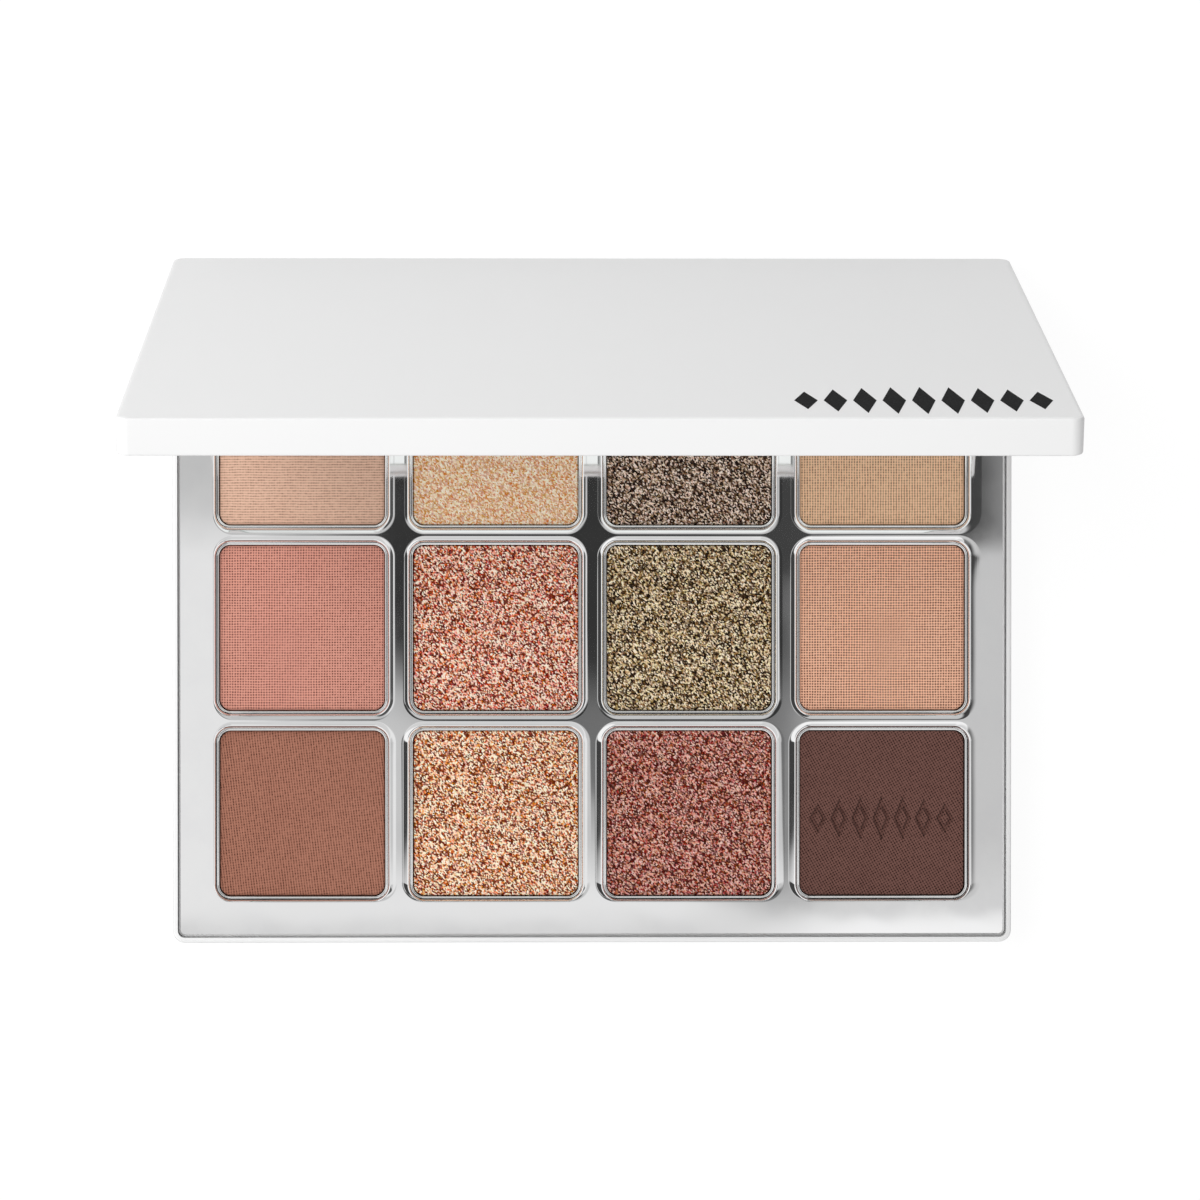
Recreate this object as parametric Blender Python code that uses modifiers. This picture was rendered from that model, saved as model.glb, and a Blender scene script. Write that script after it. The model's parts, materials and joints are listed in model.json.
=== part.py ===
"""A twelve-pan eyeshadow palette: a white hinged case, a metallised tray, tin pans of pressed powder and a lid mirror.

Units are metres. The origin is the centre of the case's underside, +Z is up and -Y is the front.
The case stands open: every lid piece is modelled shut, about the hinge axis, and turned by its parent empty.
"""

import math

import bmesh
import bpy
from mathutils import Vector

MM = 0.001

# Case
WIDTH = 110.0 * MM
DEPTH = 82.5 * MM
BASE_HEIGHT = 8.6 * MM
CORNER = 1.55 * MM
FOOT_EDGE = 0.6 * MM
RIM_EDGE = 0.3 * MM
FLOOR = 1.2 * MM
WALL = 1.3 * MM
RIM = 0.65 * MM
LEDGE_Z = 7.2 * MM
BACK = DEPTH / 2
FRONT = -DEPTH / 2

# Hinge: the axis runs along X, inside the back edge of the case
AXIS_INSET = 1.7 * MM
AXIS_DROP = 4.35 * MM
AXIS_Y = BACK - AXIS_INSET
AXIS_Z = BASE_HEIGHT - AXIS_DROP
LID_OPEN_DEG = 73.5
LUG_HALF = 44.0 * MM
LUG_RADIUS = AXIS_INSET
NOTCH_HALF = LUG_HALF + 0.2 * MM
NOTCH_DEPTH = 2 * LUG_RADIUS + 0.25 * MM
NOTCH_SILL_Z = 1.9 * MM
EAR_EDGE = 0.8 * MM
PIN_RADIUS = 0.75 * MM
BORE_RADIUS = 0.8 * MM
PIN_OUTER_X = WIDTH / 2 - 0.4 * MM
PIN_INNER_X = 36.2 * MM

# Wells, in four columns and three rows
COLUMNS = 4
ROW_NAMES = ("front", "middle", "back")
PITCH_X = 25.4 * MM
PITCH_Y = 24.37 * MM
WELL = 22.8 * MM
WELL_CORNER = 2.0 * MM
FLARE_X = 1.05 * MM
FLARE_Y = 0.7 * MM
FLARE_DEPTH = 0.7 * MM
WELL_FLOOR = 0.8 * MM

# Tray
GAP = 0.1 * MM
TRAY_TOP = BASE_HEIGHT - 0.3 * MM
TRAY_PLATE = 1.0 * MM
TRAY_BACK = BACK - NOTCH_DEPTH - 0.05 * MM
TRAY_UNDERSIDE = 2.6 * MM
TRAY_SKIRT = 0.8 * MM
TRAY_EDGE = 0.35 * MM

# Pans and powder
PAN = 22.4 * MM
PAN_CORNER = 1.8 * MM
PAN_SHEET = 0.3 * MM
PAN_TOP = TRAY_TOP - FLARE_DEPTH - GAP
PAN_Z = TRAY_UNDERSIDE + WELL_FLOOR + 0.25 * MM
PAN_HEIGHT = PAN_TOP - PAN_Z
POWDER = 21.6 * MM
POWDER_CORNER = 1.45 * MM
POWDER_TOP = PAN_TOP - 0.35 * MM
POWDER_EDGE = 0.15 * MM
PAD_RADIUS = 6.0 * MM
PAD_THICKNESS = 0.15 * MM

# Lid, with heights measured when it is shut
LID_GAP = 0.2 * MM
LID_THICKNESS = 4.5 * MM
LID_Z = BASE_HEIGHT + LID_GAP
LID_TOP = LID_Z + LID_THICKNESS
LID_SKIN = 1.5 * MM
LID_WALL = 1.4 * MM
LID_BACK_WALL = 2 * AXIS_INSET + 0.05 * MM
LID_EDGE = 0.4 * MM
FRAME_Z = LID_Z + 0.3 * MM
FRAME_THICKNESS = 2.0 * MM
MIRROR_BORDER = 5.0 * MM
MIRROR_BACK_BORDER = 8.0 * MM
MIRROR_THICKNESS = 1.1 * MM
MIRROR_CORNER = 1.5 * MM
MIRROR_Z = FRAME_Z + 0.05 * MM
MIRROR_RECESS = 1.45 * MM
TAPE_THICKNESS = 0.15 * MM
TAPE_MARGIN = 3.0 * MM

# Magnets in the front edge of the case and of the lid
MAGNET_X = 30.0 * MM
MAGNET_LENGTH = 10.0 * MM
MAGNET_WIDTH = 2.2 * MM
BASE_MAGNET_HEIGHT = 1.5 * MM
LID_MAGNET_HEIGHT = 1.0 * MM
MAGNET_FRONT = FRONT + WALL + 0.55 * MM

# Label under the case
LABEL_WIDTH = 60.0 * MM
LABEL_DEPTH = 26.0 * MM
LABEL_Y = -22.0 * MM
LABEL_RECESS = 0.15 * MM

# Colours are linear RGB, with roughness and metallic value
FINISHES = {
    "white_plastic": ((0.83, 0.83, 0.82), 0.25, 0.0),
    "silver_tray": ((0.84, 0.85, 0.86), 0.08, 1.0),
    "tin": ((0.75, 0.75, 0.74), 0.25, 1.0),
    "steel": ((0.55, 0.55, 0.56), 0.3, 1.0),
    "magnet": ((0.45, 0.45, 0.47), 0.35, 1.0),
    "mirror": ((0.9, 0.92, 0.92), 0.02, 1.0),
    "adhesive": ((0.75, 0.74, 0.68), 0.6, 0.0),
    "label": ((0.8, 0.8, 0.8), 0.7, 0.0),
}
# Powder shades by row, from the left: name, linear RGB, roughness, metallic value
SHADES = {
    "back": (
        ("soft_peach", (0.58, 0.37, 0.27), 0.8, 0.0),
        ("champagne", (0.57, 0.385, 0.255), 0.4, 0.5),
        ("smoky_bronze", (0.23, 0.165, 0.13), 0.4, 0.5),
        ("vanilla", (0.515, 0.325, 0.20), 0.85, 0.0),
    ),
    "middle": (
        ("dusty_rose", (0.545, 0.245, 0.19), 0.85, 0.0),
        ("rose_gold", (0.515, 0.28, 0.21), 0.4, 0.5),
        ("olive_gold", (0.305, 0.235, 0.15), 0.4, 0.5),
        ("warm_sand", (0.55, 0.305, 0.205), 0.85, 0.0),
    ),
    "front": (
        ("terracotta", (0.34, 0.15, 0.10), 0.85, 0.0),
        ("copper_gold", (0.57, 0.345, 0.23), 0.4, 0.5),
        ("burgundy_shimmer", (0.33, 0.145, 0.115), 0.45, 0.4),
        ("espresso", (0.115, 0.056, 0.046), 0.85, 0.0),
    ),
}


def new_collection(name):
    """A collection linked to the scene."""
    collection = bpy.data.collections.new(name)
    bpy.context.scene.collection.children.link(collection)
    return collection


def finish(name, colour, roughness, metallic):
    """A Principled material."""
    material = bpy.data.materials.new(name)
    material.use_nodes = True
    shader = material.node_tree.nodes["Principled BSDF"]
    shader.inputs["Base Color"].default_value = (*colour, 1.0)
    shader.inputs["Roughness"].default_value = roughness
    shader.inputs["Metallic"].default_value = metallic
    return material


def smooth(mesh):
    """Smooth shading over the rounded stretches, with the corners kept sharp."""
    mesh.shade_smooth()
    mesh.set_sharp_from_angle(angle=math.radians(35))
    return mesh


def slab_mesh(name, low, high, corner=0.0, corner_steps=5, top_edge=0.0, bottom_edge=0.0):
    """A box between two corners, with its four upright edges rounded, then its top and bottom rims."""
    low, high = Vector(low), Vector(high)
    bm = bmesh.new()
    bmesh.ops.create_cube(bm, size=1.0)
    bmesh.ops.scale(bm, vec=high - low, verts=bm.verts)
    bmesh.ops.translate(bm, vec=(low + high) / 2, verts=bm.verts)
    if corner:
        upright = [e for e in bm.edges if abs(e.verts[0].co.z - e.verts[1].co.z) > 1e-6]
        bmesh.ops.bevel(
            bm, geom=upright, offset=corner, segments=corner_steps, profile=0.5, affect="EDGES"
        )
    for edge, z in ((top_edge, high.z), (bottom_edge, low.z)):
        if edge:
            rim = [e for e in bm.edges if all(abs(v.co.z - z) < 1e-7 for v in e.verts)]
            bmesh.ops.bevel(bm, geom=rim, offset=edge, segments=2, profile=0.5, affect="EDGES")
    mesh = bpy.data.meshes.new(name)
    bm.to_mesh(mesh)
    bm.free()
    return smooth(mesh)


def prism_mesh(name, outline, half_length):
    """A prism along X, centred on X = 0, whose (Y, Z) outline runs counter-clockwise as seen from +X."""
    bm = bmesh.new()
    section = bm.faces.new([bm.verts.new((-half_length, y, z)) for y, z in reversed(outline)])
    grown = bmesh.ops.extrude_face_region(bm, geom=[section], use_keep_orig=True)
    far = [item for item in grown["geom"] if isinstance(item, bmesh.types.BMVert)]
    bmesh.ops.translate(bm, vec=(2 * half_length, 0.0, 0.0), verts=far)
    bmesh.ops.recalc_face_normals(bm, faces=bm.faces)
    mesh = bpy.data.meshes.new(name)
    bm.to_mesh(mesh)
    bm.free()
    return mesh


def arc(centre_y, centre_z, radius, from_deg, to_deg, steps):
    """Points on an arc in the YZ plane, with angles taken from +Y towards +Z."""
    points = []
    for step in range(steps + 1):
        turn = math.radians(from_deg + (to_deg - from_deg) * step / steps)
        points.append((centre_y + radius * math.cos(turn), centre_z + radius * math.sin(turn)))
    return points


def rod_mesh(name, radius, x_low, x_high, y, z, sides=24):
    """A cylinder along X."""
    bpy.ops.mesh.primitive_cylinder_add(
        vertices=sides, radius=radius, depth=x_high - x_low, rotation=(0.0, math.pi / 2, 0.0)
    )
    made = bpy.context.active_object
    mesh = made.data
    mesh.name = name
    mesh.transform(made.matrix_world)
    bpy.data.objects.remove(made)
    for vertex in mesh.vertices:
        vertex.co += Vector(((x_low + x_high) / 2, y, z))
    return smooth(mesh)


def rounded_ring(bm, half_x, half_y, corner, z, steps=6):
    """A level ring of points round a rounded rectangle, counter-clockwise from its +X side."""
    ring = []
    for quarter in range(4):
        centre_x = (half_x - corner) * (1 if quarter in (0, 3) else -1)
        centre_y = (half_y - corner) * (1 if quarter in (0, 1) else -1)
        for step in range(steps + 1):
            turn = math.pi / 2 * (quarter + step / steps)
            x = centre_x + corner * math.cos(turn)
            y = centre_y + corner * math.sin(turn)
            ring.append(bm.verts.new((x, y, z)))
    return ring


def well_mesh():
    """The space of one well: a straight rounded square that flares out to the tray's face through a quarter ellipse.

    The flare is wider along X than along Y, so the sides are a loft between unlike outlines.
    """
    flare_steps = 6
    profile = [(0.0, 0.0, TRAY_UNDERSIDE + WELL_FLOOR)]
    for step in range(flare_steps + 1):
        turn = math.pi / 2 * step / flare_steps
        out = 1 - math.cos(turn)
        profile.append((FLARE_X * out, FLARE_Y * out, TRAY_TOP - FLARE_DEPTH * (1 - math.sin(turn))))
    profile.append((FLARE_X, FLARE_Y, TRAY_TOP + 1.0 * MM))
    bm = bmesh.new()
    rings = []
    for out_x, out_y, z in profile:
        corner = WELL_CORNER + (out_x + out_y) / 2
        rings.append(rounded_ring(bm, WELL / 2 + out_x, WELL / 2 + out_y, corner, z))
    count = len(rings[0])
    for lower, upper in zip(rings, rings[1:]):
        for i in range(count):
            j = (i + 1) % count
            bm.faces.new((lower[i], lower[j], upper[j], upper[i]))
    bm.faces.new(list(reversed(rings[0])))
    bm.faces.new(rings[-1])
    mesh = bpy.data.meshes.new("well_space")
    bm.to_mesh(mesh)
    bm.free()
    return smooth(mesh)


def place(name, mesh, material=None, parent=None, location=(0.0, 0.0, 0.0)):
    """A visible part made from a mesh. A part of the lid is drawn shut, so its parent takes it back to the axis."""
    obj = bpy.data.objects.new(name, mesh)
    PARTS.objects.link(obj)
    obj.location = Vector(location) - (parent.location if parent else Vector())
    obj.parent = parent
    if material and not mesh.materials:
        mesh.materials.append(material)
    return obj


def combine(target, mesh, operation, location=(0.0, 0.0, 0.0)):
    """Cuts a shape out of a part, or joins it on. The shape is a hidden helper that moves with the part."""
    helper = bpy.data.objects.new(mesh.name + "_helper", mesh)
    HELPERS.objects.link(helper)
    helper.location = Vector(location) - (target.parent.location if target.parent else Vector())
    helper.parent = target.parent
    helper.hide_render = True
    helper.display_type = "WIRE"
    boolean = target.modifiers.new(operation.lower(), "BOOLEAN")
    boolean.operation = operation
    boolean.object = helper


def well_centres():
    """(row name, column number from 1, X, Y) of each well, front row first and left to right."""
    for row, row_name in enumerate(ROW_NAMES):
        for column in range(COLUMNS):
            x = (column - (COLUMNS - 1) / 2) * PITCH_X
            y = (row - (len(ROW_NAMES) - 1) / 2) * PITCH_Y
            yield row_name, column + 1, x, y


def make_base_shell():
    """The lower case: floor, walls, tray ledge, hinge ears, support ribs and magnet posts."""
    outer = slab_mesh(
        "case_outside", (-WIDTH / 2, FRONT, 0.0), (WIDTH / 2, BACK, BASE_HEIGHT),
        CORNER, 6, RIM_EDGE, FOOT_EDGE,
    )
    shell = place("base_shell", outer, FINISH["white_plastic"])
    inner_back = TRAY_BACK - 0.8 * MM
    cavity = slab_mesh(
        "case_cavity", (-WIDTH / 2 + WALL, FRONT + WALL, FLOOR),
        (WIDTH / 2 - WALL, inner_back, BASE_HEIGHT), 1.0 * MM, 3,
    )
    combine(shell, cavity, "DIFFERENCE")
    recess = slab_mesh(
        "tray_recess", (-WIDTH / 2 + RIM, FRONT + RIM, LEDGE_Z),
        (WIDTH / 2 - RIM, TRAY_BACK + GAP, BASE_HEIGHT + 1.0 * MM), CORNER - RIM, 5,
    )
    combine(shell, recess, "DIFFERENCE")
    rib_top = TRAY_UNDERSIDE - 0.2 * MM
    for column in range(COLUMNS - 1):
        x = (column - (COLUMNS - 2) / 2) * PITCH_X
        rib = slab_mesh(
            "support_rib", (x - 0.5 * MM, FRONT + 6.0 * MM, FLOOR / 2), (x + 0.5 * MM, BACK - 8.0 * MM, rib_top)
        )
        combine(shell, rib, "UNION")
    for side in (-1, 1):
        x = side * MAGNET_X
        post_half = MAGNET_LENGTH / 2 + 1.0 * MM
        post = slab_mesh(
            "magnet_post", (x - post_half, FRONT + WALL / 2, FLOOR / 2),
            (x + post_half, MAGNET_FRONT + MAGNET_WIDTH + 0.4 * MM, LEDGE_Z - 0.1 * MM),
        )
        combine(shell, post, "UNION")
        pocket = slab_mesh(
            "magnet_pocket", (x - MAGNET_LENGTH / 2 - GAP, MAGNET_FRONT - GAP, LEDGE_Z - 1.8 * MM),
            (x + MAGNET_LENGTH / 2 + GAP, MAGNET_FRONT + MAGNET_WIDTH + GAP, LEDGE_Z + 0.5 * MM),
        )
        combine(shell, pocket, "DIFFERENCE")
        bore = rod_mesh(
            "pin_bore", BORE_RADIUS, *sorted((side * (NOTCH_HALF - 1.0 * MM), side * (WIDTH / 2 + 1.0 * MM))),
            AXIS_Y, AXIS_Z,
        )
        combine(shell, bore, "DIFFERENCE")
    notch = slab_mesh(
        "hinge_notch", (-NOTCH_HALF, BACK - NOTCH_DEPTH, NOTCH_SILL_Z),
        (NOTCH_HALF, BACK + 1.0 * MM, BASE_HEIGHT + 1.0 * MM),
    )
    combine(shell, notch, "DIFFERENCE")
    clear = 1.0 * MM
    ear_round = arc(BACK - EAR_EDGE, BASE_HEIGHT - EAR_EDGE, EAR_EDGE, 90.0, 0.0, 5)
    ear_round += [
        (BACK + clear, BASE_HEIGHT - EAR_EDGE),
        (BACK + clear, BASE_HEIGHT + clear),
        (BACK - EAR_EDGE, BASE_HEIGHT + clear),
    ]
    combine(shell, prism_mesh("ear_rounding", ear_round, WIDTH), "DIFFERENCE")
    label_space = slab_mesh(
        "label_recess", (-LABEL_WIDTH / 2, LABEL_Y - LABEL_DEPTH / 2, -1.0 * MM),
        (LABEL_WIDTH / 2, LABEL_Y + LABEL_DEPTH / 2, LABEL_RECESS), 1.0 * MM, 3,
    )
    combine(shell, label_space, "DIFFERENCE")


def make_pan_tray():
    """The metallised insert: a face plate over a block of twelve wells, cored out from below between the columns."""
    plate = slab_mesh(
        "tray_plate", (-WIDTH / 2 + RIM + GAP, FRONT + RIM + GAP, TRAY_TOP - TRAY_PLATE),
        (WIDTH / 2 - RIM - GAP, TRAY_BACK, TRAY_TOP), CORNER - RIM - GAP, 5, TRAY_EDGE,
    )
    tray = place("pan_tray", plate, FINISH["silver_tray"])
    half_x = PITCH_X * (COLUMNS - 1) / 2 + WELL / 2 + TRAY_SKIRT
    half_y = PITCH_Y * (len(ROW_NAMES) - 1) / 2 + WELL / 2 + TRAY_SKIRT
    block = slab_mesh(
        "well_block", (-half_x, -half_y, TRAY_UNDERSIDE), (half_x, half_y, TRAY_TOP - TRAY_PLATE / 2),
        1.5 * MM, 3,
    )
    combine(tray, block, "UNION")
    core_half = PITCH_X / 2 - WELL / 2 - TRAY_SKIRT
    for column in range(COLUMNS - 1):
        x = (column - (COLUMNS - 2) / 2) * PITCH_X
        core = slab_mesh(
            "tray_core", (x - core_half, -half_y + 1.5 * MM, TRAY_UNDERSIDE - 1.0 * MM),
            (x + core_half, half_y - 1.5 * MM, TRAY_TOP - TRAY_PLATE),
        )
        combine(tray, core, "DIFFERENCE")
    well = well_mesh()
    for _, _, x, y in well_centres():
        combine(tray, well, "DIFFERENCE", (x, y, 0.0))


def make_pans():
    """Twelve tin pans, each stuck down by a pad and filled with a cake of powder."""
    half = PAN / 2
    sheet = slab_mesh("pan_sheet", (-half, -half, 0.0), (half, half, PAN_HEIGHT), PAN_CORNER, 5)
    bm = bmesh.new()
    bm.from_mesh(sheet)
    lid_faces = [f for f in bm.faces if f.normal.z > 0.9]
    bmesh.ops.delete(bm, geom=lid_faces, context="FACES_ONLY")
    bm.to_mesh(sheet)
    bm.free()
    half = POWDER / 2
    cake_height = POWDER_TOP - PAN_Z - PAN_SHEET - GAP
    bpy.ops.mesh.primitive_cylinder_add(vertices=20, radius=PAD_RADIUS, depth=PAD_THICKNESS)
    made = bpy.context.active_object
    pad = made.data
    bpy.data.objects.remove(made)
    for row, column, x, y in well_centres():
        place(f"pan_pad_{row}_{column}", pad, FINISH["adhesive"], None, (x, y, PAN_Z - GAP))
        pan = place(f"pan_{row}_{column}", sheet, FINISH["tin"], None, (x, y, PAN_Z))
        shell = pan.modifiers.new("sheet", "SOLIDIFY")
        shell.thickness = PAN_SHEET
        shell.offset = -1.0
        shell.use_even_offset = True
        shade, colour, roughness, metallic = SHADES[row][column - 1]
        cake = slab_mesh(
            f"cake_{shade}", (-half, -half, 0.0), (half, half, cake_height), POWDER_CORNER, 5, POWDER_EDGE
        )
        material = finish(shade, colour, roughness, metallic)
        place(f"powder_{row}_{column}", cake, material, None, (x, y, POWDER_TOP - cake_height))


def make_lid_shell(hinge):
    """The lid: a shallow tray with a hinge lug that hangs into the notch of the case."""
    outer = slab_mesh(
        "lid_outside", (-WIDTH / 2, FRONT, LID_Z), (WIDTH / 2, BACK, LID_TOP), CORNER, 6, LID_EDGE, RIM_EDGE
    )
    shell = place("lid_shell", outer, FINISH["white_plastic"], hinge)
    cavity = slab_mesh(
        "lid_cavity", (-WIDTH / 2 + LID_WALL, FRONT + LID_WALL, LID_Z - 1.0 * MM),
        (WIDTH / 2 - LID_WALL, BACK - LID_BACK_WALL, LID_TOP - LID_SKIN), 1.0 * MM, 3,
    )
    combine(shell, cavity, "DIFFERENCE")
    for y in (-24.0 * MM, 0.0, 24.0 * MM):
        rib = slab_mesh(
            "lid_rib", (-WIDTH / 2 + 8.0 * MM, y - 0.5 * MM, FRAME_Z + FRAME_THICKNESS + GAP),
            (WIDTH / 2 - 8.0 * MM, y + 0.5 * MM, LID_TOP - LID_SKIN / 2),
        )
        combine(shell, rib, "UNION")
    lug = arc(AXIS_Y, AXIS_Z, LUG_RADIUS, 180.0, 360.0, 12)
    lug += [(BACK, LID_TOP - LID_SKIN), (AXIS_Y - LUG_RADIUS, LID_TOP - LID_SKIN)]
    combine(shell, prism_mesh("hinge_lug", lug, LUG_HALF), "UNION")
    for side in (-1, 1):
        ends = sorted((side * (PIN_INNER_X - 0.5 * MM), side * (LUG_HALF + 1.0 * MM)))
        combine(shell, rod_mesh("lug_bore", BORE_RADIUS, *ends, AXIS_Y, AXIS_Z), "DIFFERENCE")


def make_mirror_parts(hinge):
    """The plate that closes the inside of the lid, with the mirror taped into it and magnets behind its front edge."""
    inner_back = BACK - LID_BACK_WALL - GAP
    frame = place(
        "mirror_frame",
        slab_mesh(
            "frame_plate", (-WIDTH / 2 + LID_WALL + GAP, FRONT + LID_WALL + GAP, FRAME_Z),
            (WIDTH / 2 - LID_WALL - GAP, inner_back, FRAME_Z + FRAME_THICKNESS), 0.9 * MM, 3, 0.0, 0.2 * MM,
        ),
        FINISH["white_plastic"],
        hinge,
    )
    low_x, front, back = -WIDTH / 2 + MIRROR_BORDER, FRONT + MIRROR_BORDER, BACK - MIRROR_BACK_BORDER
    seat = slab_mesh(
        "mirror_seat", (low_x - GAP, front - GAP, FRAME_Z - 1.0 * MM),
        (-low_x + GAP, back + GAP, FRAME_Z + MIRROR_RECESS), MIRROR_CORNER + GAP, 4,
    )
    combine(frame, seat, "DIFFERENCE")
    glass = slab_mesh(
        "mirror_glass", (low_x, front, MIRROR_Z), (-low_x, back, MIRROR_Z + MIRROR_THICKNESS), MIRROR_CORNER, 4
    )
    place("mirror", glass, FINISH["mirror"], hinge)
    tape_z = MIRROR_Z + MIRROR_THICKNESS + GAP / 2
    tape = slab_mesh(
        "tape_sheet", (low_x + TAPE_MARGIN, front + TAPE_MARGIN, tape_z),
        (-low_x - TAPE_MARGIN, back - TAPE_MARGIN, tape_z + TAPE_THICKNESS), 2.0 * MM, 3,
    )
    place("mirror_tape", tape, FINISH["adhesive"], hinge)
    magnet_top = FRAME_Z + FRAME_THICKNESS - GAP / 2
    for side, name in ((-1, "left"), (1, "right")):
        x = side * MAGNET_X
        pocket = slab_mesh(
            "lid_magnet_pocket",
            (x - MAGNET_LENGTH / 2 - GAP, MAGNET_FRONT - GAP, magnet_top - LID_MAGNET_HEIGHT - GAP / 2),
            (x + MAGNET_LENGTH / 2 + GAP, MAGNET_FRONT + MAGNET_WIDTH + GAP, magnet_top + 1.0 * MM),
        )
        combine(frame, pocket, "DIFFERENCE")
        bar = slab_mesh(
            f"lid_magnet_bar_{name}", (x - MAGNET_LENGTH / 2, MAGNET_FRONT, magnet_top - LID_MAGNET_HEIGHT),
            (x + MAGNET_LENGTH / 2, MAGNET_FRONT + MAGNET_WIDTH, magnet_top),
        )
        place(f"lid_magnet_{name}", bar, FINISH["magnet"], hinge)


def make_small_parts():
    """The hinge pins, the magnets of the case and the label underneath."""
    magnet_z = LEDGE_Z - 1.75 * MM
    for side, name in ((-1, "left"), (1, "right")):
        ends = sorted((side * PIN_INNER_X, side * PIN_OUTER_X))
        place(f"hinge_pin_{name}", rod_mesh("pin", PIN_RADIUS, *ends, AXIS_Y, AXIS_Z), FINISH["steel"])
        x = side * MAGNET_X
        bar = slab_mesh(
            f"base_magnet_bar_{name}", (x - MAGNET_LENGTH / 2, MAGNET_FRONT, magnet_z),
            (x + MAGNET_LENGTH / 2, MAGNET_FRONT + MAGNET_WIDTH, magnet_z + BASE_MAGNET_HEIGHT),
        )
        place(f"base_magnet_{name}", bar, FINISH["magnet"])
    label = slab_mesh(
        "label_sheet", (-LABEL_WIDTH / 2 + GAP, LABEL_Y - LABEL_DEPTH / 2 + GAP, 0.02 * MM),
        (LABEL_WIDTH / 2 - GAP, LABEL_Y + LABEL_DEPTH / 2 - GAP, LABEL_RECESS - 0.03 * MM), 1.0 * MM, 3,
    )
    place("bottom_label", label, FINISH["label"])


for old in list(bpy.data.objects):
    bpy.data.objects.remove(old)
PARTS = new_collection("eyeshadow_palette")
HELPERS = new_collection("cutters_and_joins")
FINISH = {name: finish(name, *values) for name, values in FINISHES.items()}
hinge_axis = bpy.data.objects.new("hinge_axis", None)
PARTS.objects.link(hinge_axis)
hinge_axis.location = (0.0, AXIS_Y, AXIS_Z)
hinge_axis.rotation_euler = (-math.radians(LID_OPEN_DEG), 0.0, 0.0)
make_base_shell()
make_pan_tray()
make_pans()
make_lid_shell(hinge_axis)
make_mirror_parts(hinge_axis)
make_small_parts()
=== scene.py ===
"""The looks of a twelve-pan eyeshadow palette.

A gloss white case holds a mirror-bright tray, tin pans and pressed powders. Lengths are in metres, in the
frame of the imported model. The mirror and the lid's print are drawn with the lid shut, then turned to rest.
"""

import json
import math

import bmesh
import bpy
import numpy as np
from mathutils import Matrix, Vector


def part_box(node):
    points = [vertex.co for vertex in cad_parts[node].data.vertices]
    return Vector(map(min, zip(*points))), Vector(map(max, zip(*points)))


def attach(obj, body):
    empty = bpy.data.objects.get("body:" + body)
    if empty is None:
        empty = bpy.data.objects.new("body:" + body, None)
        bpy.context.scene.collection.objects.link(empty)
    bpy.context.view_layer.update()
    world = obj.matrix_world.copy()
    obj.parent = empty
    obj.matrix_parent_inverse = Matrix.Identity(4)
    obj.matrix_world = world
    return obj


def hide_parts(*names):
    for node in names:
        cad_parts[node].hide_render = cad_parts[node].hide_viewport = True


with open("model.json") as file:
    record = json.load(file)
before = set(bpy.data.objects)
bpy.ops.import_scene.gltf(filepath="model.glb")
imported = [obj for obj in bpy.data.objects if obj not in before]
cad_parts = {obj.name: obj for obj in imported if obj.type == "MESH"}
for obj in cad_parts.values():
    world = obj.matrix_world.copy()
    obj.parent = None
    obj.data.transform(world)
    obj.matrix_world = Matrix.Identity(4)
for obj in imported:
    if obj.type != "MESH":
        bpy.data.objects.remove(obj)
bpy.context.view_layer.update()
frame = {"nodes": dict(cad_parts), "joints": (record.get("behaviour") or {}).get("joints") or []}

MM = 0.001
ROWS = ("front", "middle", "back")
COLUMNS = (1, 2, 3, 4)

# Powders: pitch of the weave in the mattes, size of the shimmers' flakes, and depth of their grain
WEAVE = 0.345 * MM
GRAIN = 0.15 * MM
GRAIN_DEPTH = 0.05 * MM
# Spacing of the grid that makes a face with fine relief, and a plain one
FINE_CELL = 0.09 * MM
PLAIN_CELL = 0.2 * MM
# Slow waves on the faces: size and depth
MATTE_WAVE = (2.5 * MM, 0.010 * MM)
SHIMMER_WAVE = (1.2 * MM, 0.012 * MM)
# A cake's face is lower at its edge by the crown, which rises over its reach. The face sinks a little below
# the top of its box.
CROWN = 0.08 * MM
CROWN_REACH = 3 * MM
CAKE_EDGE = 0.16 * MM
CAKE_CORNER = 1.45 * MM
CAKE_SINK = 0.03 * MM

# Rows of lozenges: half a lozenge's width as a share of the pitch, and the height at the ends of the row as
# a share of the height at its middle. Each row has a count, a length and a height.
LOZENGE_FILL = 0.40
LOZENGE_ENDS = 0.45
STAMPED = "espresso"
STAMP = (7, 19.5 * MM, 5.6 * MM)
STAMP_BELOW_MIDDLE = 0.7 * MM
STAMP_DEPTH = 0.40 * MM
STAMP_INNER = 0.46
STAMP_OUTER = 1.08
STAMP_SOFT = 0.16
PRINT = (9, 30.5 * MM, 12.3 * MM)
PRINT_CENTRE = 37.25 * MM
PRINT_FROM_FRONT = 8.0 * MM
PRINT_HALF_THICKNESS = 0.02 * MM

# Tray: chamfer of its outer edge (width, depth), thickness of its plate, walls outside its wells, corners of
# the plate and of the block below it, and clearance inside the case
TRAY_CHAMFER = (0.26 * MM, 0.18 * MM)
TRAY_PLATE = 1.0 * MM
TRAY_SKIRT = 0.8 * MM
TRAY_CORNER = 0.8 * MM
TRAY_BLOCK_CORNER = 1.5 * MM
TRAY_SHY = Vector((0.12 * MM, 0.12 * MM, 0.0))
# Wells: clearance round a pan, corner, thickness under the floor, and the tight round below the lip
WELL_GAP = 0.1 * MM
WELL_CORNER = 2.0 * MM
WELL_FLOOR = 0.8 * MM
WELL_STEPS = 14
ROUND_WIDTH = 0.26 * MM
ROUND_DEPTH = 0.45 * MM
ROUND_ARC = math.radians(70)
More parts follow.
